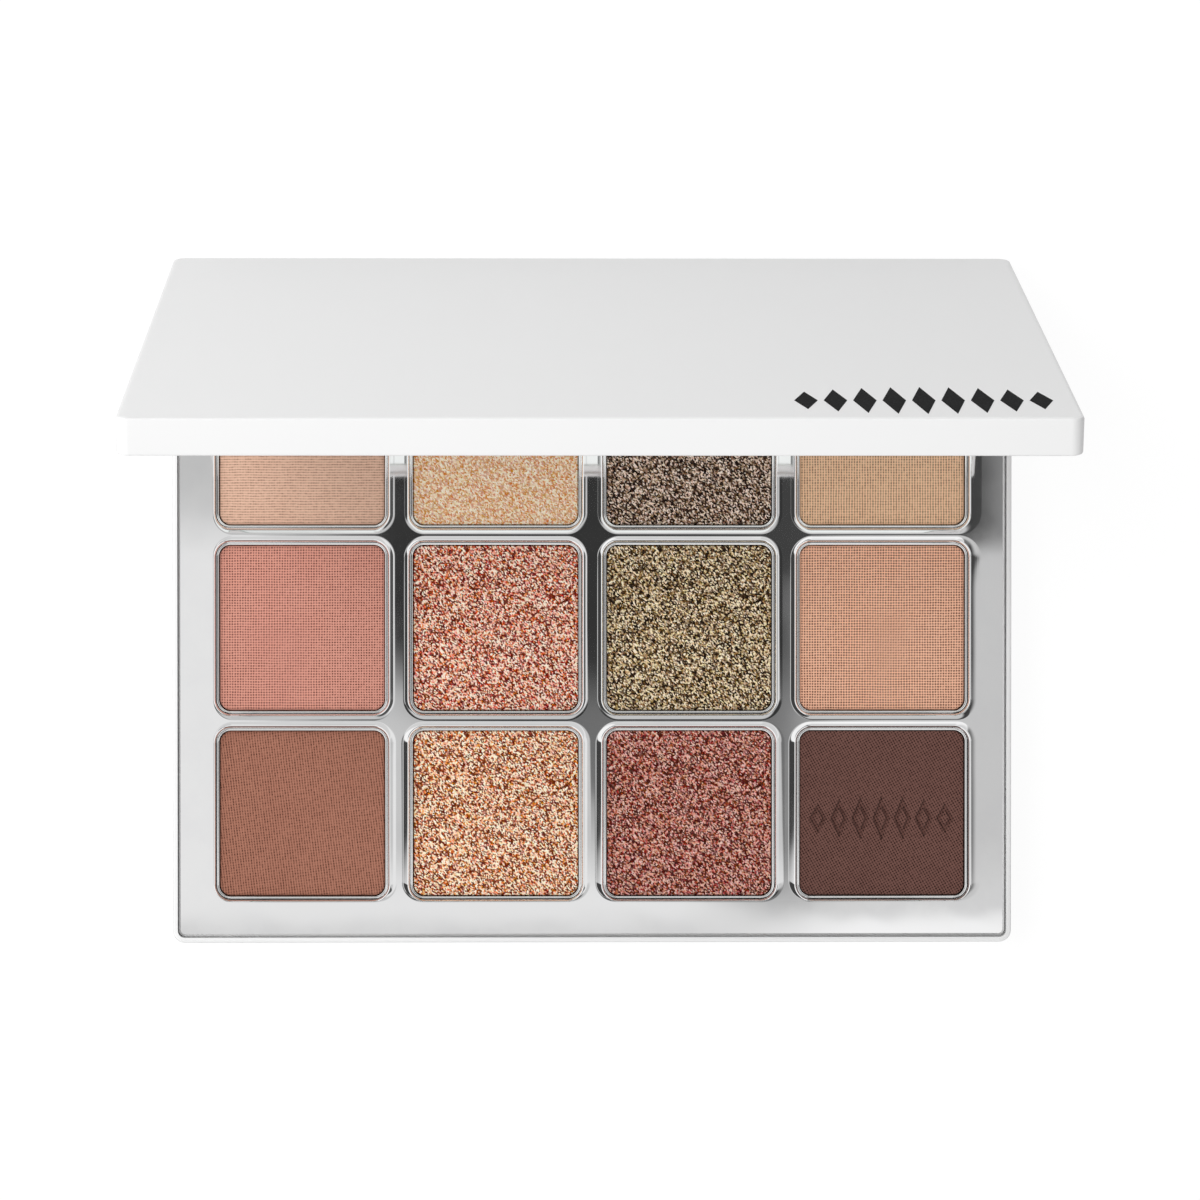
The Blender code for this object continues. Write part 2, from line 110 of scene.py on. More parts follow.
# Gentle slopes from the lip of a well: width and depth. Across and steep are at its right and left, along is
# at its front and back, and the last four face the margins of the tray.
SLOPE_ACROSS = (0.70 * MM, 0.030 * MM)
SLOPE_ACROSS_FRONT = (0.98 * MM, 0.035 * MM)
SLOPE_STEEP = (0.60 * MM, 0.055 * MM)
SLOPE_STEEP_FRONT = (0.85 * MM, 0.085 * MM)
SLOPE_ALONG = (0.60 * MM, 0.045 * MM)
SLOPE_LEFT = (0.03 * MM, 0.001 * MM)
SLOPE_RIGHT = (1.5 * MM, 0.020 * MM)
SLOPE_FRONT = (0.12 * MM, 0.0005 * MM)
SLOPE_BACK = (0.3 * MM, 0.012 * MM)

# Pans: corner, thickness of the sheet, crown of the rolled rim, and radii round the floor, outside and inside
PAN_CORNER = 1.8 * MM
SHEET = 0.3 * MM
RIM_CROWN = 0.07 * MM
PAN_FOOT = 0.45 * MM
PAN_FILLET = 0.35 * MM
PAN_STEPS = 10

MIRROR_CORNER = 1.5 * MM
MIRROR_BEVEL = 0.25 * MM
SMALLEST_CORNER = 0.05 * MM

# Label, in shares of its size: where the swatches start, how far they run, and where the rules start
GRID_START = (0.08, 0.14)
GRID_RUN = (0.50, 0.72)
SWATCH_HALF = 0.40
RULES_START = 0.64
RULE_PITCH = 2.6 * MM
RULE_WEIGHT = 0.22
RULE_MARGIN = 4 * MM

# Studio. A ray's slopes along X and Y against its rise say where it goes. A pair runs from none of a panel to
# all of it.
LEAST_RISE = 0.02
OVERHEAD_LEFT = (-0.07, -0.035)
OVERHEAD_RIGHT = (0.080, 0.052)
OVERHEAD_BACK = (0.075, 0.025)
OVERHEAD_FRONT = (-0.083, -0.058)
OVERHEAD_SLANT_FROM = -0.02
OVERHEAD_SLANT = 1.45
BESIDE_INNER = (-0.055, -0.075)
BESIDE_OUTER = (-0.14, -0.11)
FAR_RIGHT = (0.114, 0.130)
FAR_RIGHT_REACH = (0.95, 0.6)
FAR_RIGHT_LEVEL = 0.05
FAR_LEFT = (-0.095, -0.110)
FAR_LEFT_FRONT = (-0.05, -0.035)
FAR_LEFT_REACH = (0.6, 0.35)
FAR_LEFT_LEVEL = 0.08
AHEAD_NEAR = (-0.07, -0.085)
AHEAD_FAR = (-0.3, -0.2)
# The low dark front is given by the ray's direction itself
LOW_FRONT_Y = (-0.6, -0.8)
LOW_FRONT_X = (0.4, 0.25)
LOW_FRONT_Z = (0.46, 0.38)
LOW_FRONT_LEVEL = 0.02

FLOOR_SIZE = 8.0
FLOOR_HEIGHT = -0.05 * MM
FLOOR_GLOW = 1.08
FLOOR_GLOW_SHARE = 0.85

LENS_MM = 126.88
SENSOR_MM = 36.0
CAMERA_PLACE = (-0.00702, 0.01122, 0.56287)
CAMERA_TURN_DEG = (-0.780, -0.827, -0.003)

FIRST_SEED = 100

# Shades, in linear RGB. A matte has its colour, the turn of its weave in degrees, the strength of its ribs
# across X and across Y, and the contrast of the weave's painted shade. A shimmer has its dark, middle and
# light colours: the dark is partly painted shade of flakes in pits, the light partly painted glints.
MATTE = "matte"
SHIMMER = "shimmer"
SHADES = {
    "soft_peach": (MATTE, (0.645, 0.417, 0.309), 0.0, (0.3, 1.0), 0.8),
    "vanilla": (MATTE, (0.80, 0.524, 0.336), 0.0, (1.0, 0.7), 1.2),
    "dusty_rose": (MATTE, (0.576, 0.262, 0.203), 0.0, (1.0, 1.0), 1.4),
    "warm_sand": (MATTE, (0.766, 0.431, 0.296), 0.0, (1.0, 1.0), 1.85),
    "terracotta": (MATTE, (0.349, 0.152, 0.1035), 7.0, (1.0, 0.5), 1.15),
    "espresso": (MATTE, (0.157, 0.076, 0.0624), 30.0, (1.0, 0.8), 1.6),
    "champagne": (SHIMMER, (0.68, 0.365, 0.207), (0.89, 0.605, 0.405), (0.98, 0.88, 0.71)),
    "smoky_bronze": (SHIMMER, (0.009, 0.003, 0.002), (0.223, 0.138, 0.088), (0.95, 0.79, 0.68)),
    "rose_gold": (SHIMMER, (0.12, 0.014, 0.006), (0.85, 0.308, 0.215), (0.99, 0.87, 0.72)),
    "olive_gold": (SHIMMER, (0.010, 0.004, 0.001), (0.297, 0.191, 0.103), (0.98, 0.85, 0.62)),
    "copper_gold": (SHIMMER, (0.13, 0.020, 0.005), (0.88, 0.394, 0.234), (1.0, 0.93, 0.735)),
    "burgundy_shimmer": (SHIMMER, (0.060, 0.007, 0.003), (0.378, 0.130, 0.105), (0.83, 0.51, 0.43)),
}


# ---------------------------------------------------------------- node trees


class Graph:
    """A node tree written as formulas: each method adds a node and gives its output."""

    def __init__(self, tree):
        self.tree = tree
        tree.nodes.clear()

    def node(self, kind, inputs, **settings):
        made = self.tree.nodes.new(kind)
        for name, value in settings.items():
            setattr(made, name, value)
        for key, value in inputs.items():
            socket = made.inputs[key]
            if isinstance(value, bpy.types.NodeSocket):
                self.tree.links.new(value, socket)
            elif socket.type == "RGBA":
                socket.default_value = (*value, 1.0)
            else:
                socket.default_value = value
        return made

    def maths(self, operation, *values):
        return self.node("ShaderNodeMath", dict(enumerate(values)), operation=operation).outputs[0]

    def plus(self, a, b):
        return self.maths("ADD", a, b)

    def minus(self, a, b):
        return self.maths("SUBTRACT", a, b)

    def times(self, a, b):
        return self.maths("MULTIPLY", a, b)

    def over(self, a, b):
        return self.maths("DIVIDE", a, b)

    def vector(self, operation, *values):
        return self.node("ShaderNodeVectorMath", dict(enumerate(values)), operation=operation).outputs[0]

    def ramp(self, value, low, high, out_low=0.0, out_high=1.0):
        """A smooth step from out_low at low to out_high at high."""
        inputs = {"Value": value, "From Min": low, "From Max": high, "To Min": out_low, "To Max": out_high}
        return self.node("ShaderNodeMapRange", inputs, interpolation_type="SMOOTHSTEP").outputs["Result"]

    def mix(self, factor, a, b, blend="MIX"):
        inputs = {0: factor, 6: a, 7: b}
        return self.node("ShaderNodeMix", inputs, data_type="RGBA", blend_type=blend).outputs[2]

    def between(self, factor, a, b):
        return self.node("ShaderNodeMix", {0: factor, 2: a, 3: b}, data_type="FLOAT").outputs[0]

    def noise(self, where, size, detail=2.0, roughness=0.5):
        inputs = {"Vector": where, "Scale": 1 / size, "Detail": detail, "Roughness": roughness}
        return self.node("ShaderNodeTexNoise", inputs).outputs[0]

    def cells(self, where, size):
        """Flat Voronoi cells: distance to the nearest point, and a random colour for each cell."""
        inputs = {"Vector": where, "Scale": 1 / size}
        made = self.node("ShaderNodeTexVoronoi", inputs, voronoi_dimensions="2D")
        return made.outputs["Distance"], made.outputs["Color"]

    def parts(self, vector):
        return self.node("ShaderNodeSeparateXYZ", {0: vector}).outputs

    def join(self, x, y, z):
        return self.node("ShaderNodeCombineXYZ", {0: x, 1: y, 2: z}).outputs[0]

    def object_place(self):
        return self.node("ShaderNodeTexCoord", {}).outputs["Object"]

    def bump(self, height, distance, normal=None):
        inputs = {"Height": height, "Distance": distance}
        if normal:
            inputs["Normal"] = normal
        return self.node("ShaderNodeBump", inputs).outputs[0]

    def colours(self, value, stops, interpolation="LINEAR"):
        """A colour ramp through (position, linear RGB) stops."""
        made = self.node("ShaderNodeValToRGB", {0: value})
        ramp = made.color_ramp
        ramp.interpolation = interpolation
        while len(ramp.elements) < len(stops):
            ramp.elements.new(0.5)
        for element, (position, _) in zip(ramp.elements, stops):
            element.position = position
        for element, (_, colour) in zip(ramp.elements, stops):
            element.color = (*colour, 1.0)
        return made.outputs[0]

    def principled(self, **inputs):
        named = {name.replace("_", " "): value for name, value in inputs.items()}
        shader = self.node("ShaderNodeBsdfPrincipled", named)
        self.node("ShaderNodeOutputMaterial", {"Surface": shader.outputs[0]})


def new_material(name):
    material = bpy.data.materials.new(name)
    material.use_nodes = True
    return material, Graph(material.node_tree)


# ---------------------------------------------------------------- materials


def white_plastic():
    """Glossy white moulded plastic with a faint orange peel."""
    material, g = new_material("gloss_white_plastic")
    where = g.object_place()
    tone = g.noise(where, 22 * MM)
    colour = g.mix(tone, (0.846, 0.847, 0.849), (0.858, 0.858, 0.856))
    patches = g.noise(where, 9 * MM, 2.0)
    peel = g.bump(g.noise(where, 1.4 * MM, 1.0), 0.0008 * MM)
    g.principled(
        Base_Color=colour, Roughness=g.ramp(patches, 0.3, 0.7, 0.285, 0.305), IOR=1.52, Normal=peel,
        Coat_Weight=0.25, Coat_Roughness=0.12,
    )
    return material


def tray_film():
    """Vacuum-metallised plastic: near mirror, with the slow ripple of thin moulding and a little haze."""
    material, g = new_material("metallised_tray")
    where = g.object_place()
    haze = g.noise(where, 5 * MM, 3.0, 0.6)
    ripple = g.bump(g.noise(where, 9 * MM, 1.0), 0.006 * MM)
    tone = g.mix(g.ramp(haze, 0.3, 0.7), (0.93, 0.93, 0.935), (0.96, 0.96, 0.96))
    g.principled(Base_Color=tone, Metallic=1.0, Roughness=g.ramp(haze, 0.25, 0.75, 0.02, 0.04), Normal=ripple)
    return material


def tin_plate():
    """Pressed tinplate with fine draw marks up its sides."""
    material, g = new_material("bright_tin")
    where = g.object_place()
    drawn = g.vector("MULTIPLY", where, (1.0, 1.0, 0.12))
    marks = g.noise(drawn, 0.18 * MM, 3.0, 0.6)
    tone = g.mix(g.ramp(marks, 0.3, 0.7), (0.90, 0.90, 0.895), (0.97, 0.97, 0.965))
    spread = g.ramp(marks, 0.25, 0.75, 0.04, 0.09)
    g.principled(Base_Color=tone, Metallic=1.0, Roughness=spread, Normal=g.bump(marks, 0.0006 * MM))
    return material


def metal(name, dark, light, roughness, grain):
    """A plain metal with lathe or saw marks along X."""
    material, g = new_material(name)
    where = g.vector("MULTIPLY", g.object_place(), (0.15, 1.0, 1.0))
    marks = g.noise(where, grain, 4.0, 0.65)
    tone = g.mix(g.ramp(marks, 0.3, 0.7), dark, light)
    spread = g.ramp(marks, 0.25, 0.75, roughness * 0.75, roughness * 1.3)
    g.principled(Base_Color=tone, Metallic=1.0, Roughness=spread, Normal=g.bump(marks, 0.003 * MM))
    return material


def adhesive():
    """Double-sided foam tape: matte, off-white, with small closed bubbles."""
    material, g = new_material("foam_adhesive")
    where = g.object_place()
    bubble, _ = g.cells(where, 0.35 * MM)
    tone = g.mix(g.ramp(bubble, 0.1, 0.5), (0.62, 0.60, 0.53), (0.80, 0.79, 0.73))
    g.principled(Base_Color=tone, Roughness=0.75, Normal=g.bump(bubble, 0.03 * MM))
    return material


def mirror_silver():
    """Silvered glass: a clean mirror with a trace of green and the odd speck of dust."""
    material, g = new_material("silvered_glass")
    where = g.object_place()
    dust = g.ramp(g.noise(where, 0.5 * MM, 2.0), 0.74, 0.82)
    haze = g.ramp(g.noise(where, 12 * MM, 3.0), 0.4, 0.8, 0.008, 0.03)
    tone = g.mix(dust, (0.90, 0.925, 0.91), (0.80, 0.82, 0.81))
    g.principled(Base_Color=tone, Metallic=1.0, Roughness=g.between(dust, haze, 0.3))
    return material


def mirror_edge():
    """The ground edge of float glass: pale green, satin."""
    material, g = new_material("ground_glass_edge")
    ground = g.noise(g.object_place(), 0.15 * MM, 3.0, 0.7)
    tone = g.mix(g.ramp(ground, 0.3, 0.7), (0.30, 0.50, 0.42), (0.48, 0.66, 0.58))
    g.principled(Base_Color=tone, Roughness=0.38, IOR=1.52, Normal=g.bump(ground, 0.01 * MM))
    return material


def black_ink():
    """Screen-printed black ink: nearly matte, with the faint tooth of the mesh."""
    material, g = new_material("black_ink")
    tooth = g.noise(g.object_place(), 0.2 * MM, 3.0)
    tone = g.mix(g.ramp(tooth, 0.3, 0.7), (0.006, 0.006, 0.007), (0.012, 0.012, 0.012))
    rough = g.ramp(tooth, 0.3, 0.7, 0.6, 0.8)
    g.principled(Base_Color=tone, Roughness=rough, Specular_IOR_Level=0.06, Normal=g.bump(tooth, 0.002 * MM))
    return material


def turned(g, turn_deg):
    """The place on the face in axes turned about Z."""
    x, y, z = g.parts(g.object_place())
    cosine, sine = math.cos(math.radians(turn_deg)), math.sin(math.radians(turn_deg))
    along = g.plus(g.times(x, cosine), g.times(y, sine))
    across = g.minus(g.times(y, cosine), g.times(x, sine))
    return g.join(along, across, z)


def matte_powder(name, colour, turn_deg, threads, contrast):
    """Pressed matte powder that took the weave of the cloth laid over it in the press.

    turn_deg turns the weave, threads gives the strength of its ribs across X and across Y, and contrast tells
    how dark the painted shade in its hollows is. The weave's hollows are painted darker and its threads
    painted
    lighter than the colour: painted shade and painted highlight of the relief.
    """
    material, g = new_material(name)
    where = g.object_place()
    x, y, _ = g.parts(turned(g, turn_deg))
    sway = g.noise(where, 2.5 * MM, 2.0)
    shift = g.times(g.minus(sway, 0.5), 0.14 * MM)
    dips = []
    for distance, strength in ((x, threads[0]), (y, threads[1])):
        angle = g.times(g.plus(distance, shift), math.pi / WEAVE)
        dip = g.maths("POWER", g.maths("SINE", angle), 2.0)
        dips.append(g.between(strength, 0.75, dip))
    pit = g.times(dips[0], dips[1])
    uneven = g.ramp(g.noise(where, 0.4 * MM, 1.0), 0.3, 0.7, 0.55, 1.12)
    speckle = g.noise(where, 0.11 * MM, 2.0, 0.7)
    cloud = g.noise(where, 4.0 * MM, 3.0)
    # Painted shade and painted highlight: the weave's hollows are darkened and its threads lightened in the
    # colour.
    depth = g.times(g.times(pit, uneven), contrast)
    painted_lit_thread = tuple(min(1.0, c * 1.2) for c in colour)
    painted_hollow_shade = tuple(c * dim for c, dim in zip(colour, (0.18, 0.13, 0.12)))
    tone = g.mix(depth, painted_lit_thread, painted_hollow_shade)
    fine = g.mix(g.ramp(speckle, 0.3, 0.7), (0.15, 0.15, 0.15), (0.85, 0.85, 0.85))
    tone = g.mix(0.16, tone, fine, "SOFT_LIGHT")
    broad = g.mix(g.ramp(cloud, 0.3, 0.7), (0.2, 0.2, 0.2), (0.8, 0.8, 0.8))
    tone = g.mix(0.05, tone, broad, "SOFT_LIGHT")
    weave = g.bump(g.times(depth, -1.0), 0.015 * MM)
    normal = g.bump(speckle, 0.012 * MM, normal=weave)
    g.principled(
        Base_Color=tone, Roughness=0.9, Normal=normal, Specular_IOR_Level=0.15, Sheen_Weight=0.06,
        Sheen_Roughness=0.5,
    )
    return material


def shimmer_powder(name, dark, middle, light):
    """Pressed shimmer: flakes of mica at many tilts, their colour running from painted shade in deep pits to
    painted glints.
    """
    material, g = new_material(name)
    where = g.object_place()
    streaked = g.vector("MULTIPLY", turned(g, -45.0), (0.72, 1.0, 1.0))
    _, flake = g.cells(streaked, GRAIN)
    _, fleck = g.cells(where, GRAIN * 2.6)
    level, tilt_x, tilt_y = g.parts(flake)
    cluster, fleck_metal_and_painted_glint, _ = g.parts(fleck)
    patch = g.noise(where, 0.9 * MM, 3.0, 0.6)
    value = g.plus(level, g.times(g.minus(patch, 0.5), 0.32))
    value = g.plus(value, g.times(g.minus(cluster, 0.5), 0.10))
    # Painted glints: rare flecks are lifted towards the light colour.
    value = g.plus(value, g.ramp(fleck_metal_and_painted_glint, 0.95, 0.99, 0.0, 0.30))
    half_dark = tuple((a + b) / 4 + math.sqrt(a * b) / 2 for a, b in zip(dark, middle))
    half_light = tuple(math.sqrt(a * b) for a, b in zip(middle, light))
    # The ramp paints the shade of flakes in pits and the glints of tilted flakes into the colour, over the
    # grains' own spread of tone.
    tone = g.colours(
        value, ((0.20, dark), (0.44, half_dark), (0.57, middle), (0.71, half_light), (0.92, light))
    )
    shifted = g.plus(0.5, g.times(g.minus(tilt_x, 0.5), 0.045))
    vivid = g.ramp(tilt_y, 0.0, 1.0, 0.8, 1.4)
    tone = g.node("ShaderNodeHueSaturation", {"Hue": shifted, "Saturation": vivid, "Color": tone}).outputs[0]
    tilted = g.join(g.minus(tilt_x, 0.5), g.minus(tilt_y, 0.5), 2.2)
    normal = g.vector("NORMALIZE", tilted)
    shine = g.node("ShaderNodeVectorTransform", {0: normal}, vector_type="NORMAL", convert_from="OBJECT")
    metallic = g.ramp(fleck_metal_and_painted_glint, 0.86, 0.97, 0.0, 0.4)
    roughness = g.ramp(level, 0.0, 1.0, 0.8, 0.45)
    g.principled(
        Base_Color=tone, Metallic=metallic, Roughness=roughness, Normal=shine.outputs[0],
        Specular_IOR_Level=0.15,
    )
    return material


def printed_label(shade_colours):
    """A paper label printed with the twelve shades as plain swatches, and grey rules beside them."""
    material, g = new_material("printed_label")
    where = g.object_place()
    x, y, _ = g.parts(where)
    low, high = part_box("bottom_label")
    size = high - low
    columns, rows, count = float(len(COLUMNS)), float(len(ROWS)), float(len(shade_colours))
    column = g.times(g.minus(x, low.x + size.x * GRID_START[0]), columns / (size.x * GRID_RUN[0]))
    row = g.times(g.minus(y, low.y + size.y * GRID_START[1]), rows / (size.y * GRID_RUN[1]))
    index = g.plus(g.maths("FLOOR", column), g.times(g.maths("FLOOR", row), columns))
    stops = [(i / count, colour) for i, colour in enumerate(shade_colours)]
    swatch = g.colours(g.over(g.plus(index, 0.5), count), stops, "CONSTANT")
    inside = 1.0
    for place, end in ((column, columns), (row, rows)):
        edge = g.maths("ABSOLUTE", g.minus(g.maths("FRACT", place), 0.5))
        inside = g.times(inside, g.maths("LESS_THAN", edge, SWATCH_HALF))
        inside = g.times(inside, g.maths("GREATER_THAN", place, 0.0))
        inside = g.times(inside, g.maths("LESS_THAN", place, end))
    rule_row = g.maths("FRACT", g.times(g.minus(y, low.y), 1 / RULE_PITCH))
    beside = g.maths("GREATER_THAN", x, low.x + size.x * RULES_START)
    rules = g.times(g.maths("LESS_THAN", rule_row, RULE_WEIGHT), beside)
    rules = g.times(rules, g.maths("LESS_THAN", x, high.x - RULE_MARGIN))
    fibre = g.noise(where, 0.25 * MM, 4.0, 0.7)
    paper = g.mix(g.ramp(fibre, 0.3, 0.7), (0.78, 0.78, 0.77), (0.85, 0.85, 0.845))
    tone = g.mix(inside, g.mix(rules, paper, (0.35, 0.35, 0.36)), swatch)
    g.principled(Base_Color=tone, Roughness=0.6, Normal=g.bump(fibre, 0.004 * MM))
    return material


# ---------------------------------------------------------------- meshes


def mesh_object(name, bm):
    mesh = bpy.data.meshes.new(name)
    bm.to_mesh(mesh)
    bm.free()
    made = bpy.data.objects.new(name, mesh)
    bpy.context.scene.collection.objects.link(made)
    return made


def soften(obj, angle_deg=35.0):
    """Smooth shading with flat faces kept flat and corners above the angle kept sharp."""
    obj.data.shade_smooth()
    obj.data.set_sharp_from_angle(angle=math.radians(angle_deg))
    even = obj.modifiers.new("even_normals", "WEIGHTED_NORMAL")
    even.keep_sharp = True
    even.weight = 90
    return obj


def dress(node, material, edge=0.0):
    """Gives a CAD node its finish, and smooth normals over its rounded edges."""
    obj = frame["nodes"][node]
    obj.data.materials[0] = material
    obj.data.attributes.remove(obj.data.attributes["custom_normal"])
    obj.data.shade_smooth()
    weld = obj.modifiers.new("weld", "WELD")
    weld.merge_threshold = 0.002 * MM
    if edge:
        bevel = obj.modifiers.new("edge", "BEVEL")
        bevel.width = edge
        bevel.segments = 3
        bevel.limit_method = "ANGLE"
        bevel.angle_limit = math.radians(40)
    split = obj.modifiers.new("corners", "EDGE_SPLIT")
    split.split_angle = math.radians(35)
    split.use_edge_sharp = False
    even = obj.modifiers.new("even_normals", "WEIGHTED_NORMAL")
    even.weight = 90
    return obj


def ring(bm, centre, half_x, half_y, corner, z, steps):
    """A ring of vertices round a rounded rectangle. z is a height, or gives one for an outward direction."""
    made = []
    for number in range(4):
        middle_x = (half_x - corner) * (1 if number in (0, 3) else -1)
        middle_y = (half_y - corner) * (1 if number in (0, 1) else -1)
        for step in range(steps + 1):
            turn = math.pi / 2 * (number + step / steps)
            x = centre.x + middle_x + corner * math.cos(turn)
            y = centre.y + middle_y + corner * math.sin(turn)
            height = z(math.cos(turn), math.sin(turn)) if callable(z) else z
            made.append(bm.verts.new((x, y, height)))
    return made


def loft(bm, rings):
    """Skins rings in order, and closes the first and the last."""
    count = len(rings[0])
    for lower, upper in zip(rings, rings[1:]):
        for i in range(count):
            j = (i + 1) % count
            bm.faces.new((lower[i], lower[j], upper[j], upper[i]))
    bm.faces.new(list(reversed(rings[0])))
    bm.faces.new(rings[-1])


def quarter(steps):
    """(cos, sin) pairs along a quarter turn."""
    for step in range(steps + 1):
        turn = math.pi / 2 * step / steps
        yield math.cos(turn), math.sin(turn)


def slab(name, low, high, corner, bottom_edge=0.0, chamfer=None, steps=12):
    """A plate with rounded upright corners.

    bottom_edge rounds its lower rim over, and chamfer, a (width, depth), bevels its upper one.
    """
    centre = (low + high) / 2
    half = (high - low) / 2
    profile = [(0.0, low.z)]
    if bottom_edge:
        profile = [(bottom_edge * (1 - s), low.z + bottom_edge * (1 - c)) for c, s in quarter(2)]
    if chamfer:
        profile += [(0.0, high.z - chamfer[1]), (chamfer[0], high.z)]
    else:
        profile.append((0.0, high.z))
    bm = bmesh.new()
    rings = [
        ring(bm, centre, half.x - inset, half.y - inset, max(corner - inset, SMALLEST_CORNER), z, steps)
        for inset, z in profile
    ]
    loft(bm, rings)
    return mesh_object(name, bm)


def cut(target, cutter, operation="DIFFERENCE"):
    """Applies a boolean and removes the cutter."""
    boolean = target.modifiers.new("cut", "BOOLEAN")
    boolean.operation = operation
    boolean.object = cutter
    bpy.context.view_layer.update()
    result = bpy.data.meshes.new_from_object(target.evaluated_get(bpy.context.evaluated_depsgraph_get()))
    old = target.data
    target.modifiers.clear()
    target.data = result
    bpy.data.meshes.remove(old)
    bpy.data.objects.remove(cutter)


def finish_piece(obj, material, node, body):
    """Puts a piece in place of a CAD node: finish, slot, body."""
    obj.data.materials.clear()
    obj.data.materials.append(material)
    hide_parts(node)
    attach(obj, body)
    return obj


# ---------------------------------------------------------------- tray, pans and powders


def well_profile():
    """Steps up a well, through a tight round and then the gentle slope of the web.

    Each has the share of the round and of the slope it has gone out, its depth below the slope, and its share
    of the slope's depth.
    """
    profile = []
    round_steps = 12
    for step in range(round_steps + 1):
        turn = ROUND_ARC * step / round_steps
        out = (1 - math.cos(turn)) / (1 - math.cos(ROUND_ARC))
        profile.append((out, 0.0, ROUND_DEPTH * (1 - math.sin(turn) / math.sin(ROUND_ARC)), 1.0))
    slope_steps = 10
    for step in range(1, slope_steps + 1):
        share = step / slope_steps
        profile.append((1.0, share, 0.0, (1 - share) ** 2))
    return profile


def well_sides(row, column):
    """The gentle slopes at the left, right, front and back of a well."""
    across = SLOPE_ACROSS_FRONT if row == ROWS[0] else SLOPE_ACROSS
    steep = SLOPE_STEEP_FRONT if row == ROWS[0] else SLOPE_STEEP
    left = SLOPE_LEFT if column == COLUMNS[0] else steep
    right = SLOPE_RIGHT if column == COLUMNS[-1] else across
    front = SLOPE_FRONT if row == ROWS[0] else SLOPE_ALONG
    back = SLOPE_BACK if row == ROWS[-1] else SLOPE_ALONG
    return left, right, front, back


def make_well(bm, centre, half, sides, floor_z, top_z):
    """The hollow of one well. Its slopes turn into one another round the corners."""
    left, right, front, back = sides

    def lip_height(below, share):
        def height(across, along):
            depth_across = across**4 * (right if across > 0 else left)[1]
            depth_along = along**2 * (back if along > 0 else front)[1]
            return top_z - below - (depth_across + depth_along) * share

        return height

    profile = well_profile()
    levels = [(*profile[0][:2], floor_z)]
    levels += [(rounded, sloped, lip_height(below, share)) for rounded, sloped, below, share in profile]
    levels.append((*profile[-1][:2], top_z + MM))
    rings = []
    for rounded, sloped, z in levels:
        grown = [ROUND_WIDTH * rounded + width * sloped for width, _ in sides]
        out_left, out_right, out_front, out_back = grown
        middle = centre + Vector((out_right - out_left, out_back - out_front, 0.0)) / 2
        half_x = half + (out_left + out_right) / 2
        half_y = half + (out_front + out_back) / 2
        corner = WELL_CORNER + (out_left + out_right + out_front + out_back) / 4
        rings.append(ring(bm, middle, half_x, half_y, corner, z, WELL_STEPS))
    loft(bm, rings)


def make_tray(material):
    """The insert, with a tight round and a gentle slope round every well."""
    low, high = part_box("pan_tray")
    shy_x, shy_y, _ = TRAY_SHY
    plate_low = Vector((low.x, low.y + shy_y, high.z - TRAY_PLATE))
    tray = slab("tray", plate_low, high - Vector((shy_x, 0.0, 0.0)), TRAY_CORNER, chamfer=TRAY_CHAMFER)
    corner_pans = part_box("pan_front_1"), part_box("pan_back_4")
    grow = WELL_GAP + TRAY_SKIRT
    block = slab(
        "block",
        Vector((corner_pans[0][0].x - grow, corner_pans[0][0].y - grow, low.z)),
        Vector((corner_pans[1][1].x + grow, corner_pans[1][1].y + grow, high.z - TRAY_PLATE / 2)),
        TRAY_BLOCK_CORNER,
    )
    cut(tray, block, "UNION")
    wells = bmesh.new()
    for row in ROWS:
        for column in COLUMNS:
            pan_low, pan_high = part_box(f"pan_{row}_{column}")
            centre = (pan_low + pan_high) / 2
            half = (pan_high.x - pan_low.x) / 2 + WELL_GAP
            make_well(wells, centre, half, well_sides(row, column), low.z + WELL_FLOOR, high.z)
    cut(tray, mesh_object("wells", wells))
    soften(tray, 30.0)
    tray.name = "tray_film"
    return finish_piece(tray, material, "pan_tray", "base")


def make_pan(row, column, material):
    """A pressed tin pan with a rolled rim and a radius round its floor, inside and out."""
    node = f"pan_{row}_{column}"
    low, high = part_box(node)
    centre = (low + high) / 2
    half = (high.x - low.x) / 2
    roll = SHEET / 2
    profile = [(PAN_FOOT * (1 - s), low.z + PAN_FOOT * (1 - c)) for c, s in quarter(5)]
    profile += [(roll * (1 - c), high.z - RIM_CROWN * (1 - s)) for c, s in quarter(5)]
    profile += [(roll * (1 + s), high.z - RIM_CROWN * (1 - c)) for c, s in list(quarter(5))[1:]]
    profile += [
        (SHEET + PAN_FILLET * (1 - c), low.z + SHEET + PAN_FILLET * (1 - s)) for c, s in quarter(4)
    ]
    bm = bmesh.new()
    rings = [
        ring(bm, centre, half - inset, half - inset, PAN_CORNER - inset, z, PAN_STEPS)
        for inset, z in profile
    ]
    loft(bm, rings)
    pan = mesh_object(f"tin_{row}_{column}", bm)
    soften(pan, 50.0)
    return finish_piece(pan, material, node, "base")


def rounded_grid(half, corner, cells):
    """X and Y of a square grid whose corner squares are squeezed into quarter discs."""
    line = np.linspace(-half, half, cells + 1)
    x, y = np.meshgrid(line, line)
    straight = half - corner
    a = np.clip((np.abs(x) - straight) / corner, 0.0, 1.0)
    b = np.clip((np.abs(y) - straight) / corner, 0.0, 1.0)
    inside = (a > 0) & (b > 0)
    round_x = np.sign(x) * (straight + corner * a * np.sqrt(1 - b * b / 2))
    round_y = np.sign(y) * (straight + corner * b * np.sqrt(1 - a * a / 2))
    return np.where(inside, round_x, x), np.where(inside, round_y, y)


